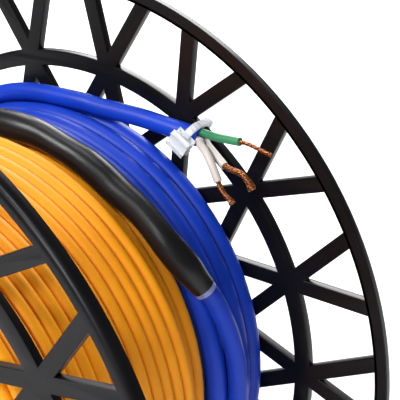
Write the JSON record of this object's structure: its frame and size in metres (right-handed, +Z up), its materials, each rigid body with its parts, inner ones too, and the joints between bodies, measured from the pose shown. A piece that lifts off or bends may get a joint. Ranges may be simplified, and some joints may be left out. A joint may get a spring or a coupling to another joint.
{
  "type": "underfloor heating cable on a drum",
  "caption": "Drum with open lattice flanges that carries a wound heating cable spliced to its power lead, whose stripped end is tied to the rear flange.",
  "frame": {"origin": "the middle of the drum's axis, which is the centre of its box", "axes": "+Y along the drum's axis, from the front flange to the rear flange that holds the lead's end; +Z up, with the drum standing on its two rims"},
  "size_m": [0.2498, 0.1202, 0.2498],
  "materials": {
    "drum_plastic": "moulded, slightly glossy",
    "heating_jacket": "smooth jacket",
    "lead_jacket": "smooth jacket",
    "splice_tube": "shrunk tube with soft bumps",
    "green_insulation": "smooth",
    "white_insulation": "smooth",
    "copper": "bare twisted strands",
    "tie_nylon": "milky nylon"
  },
  "bodies": {
    "root": {"flange_front": "drum_plastic", "flange_rear": "drum_plastic", "barrel": "drum_plastic", "heating_cable_coil": "heating_jacket", "power_lead_coil": "lead_jacket", "power_lead_end": "lead_jacket", "splice_sleeve": "splice_tube", "core_green": "green_insulation", "core_white_upper": "white_insulation", "core_white_lower": "white_insulation", "strands_green": "copper", "strands_white_upper": "copper", "strands_white_lower": "copper", "cable_tie": "tie_nylon"}
  },
  "joints": []
}
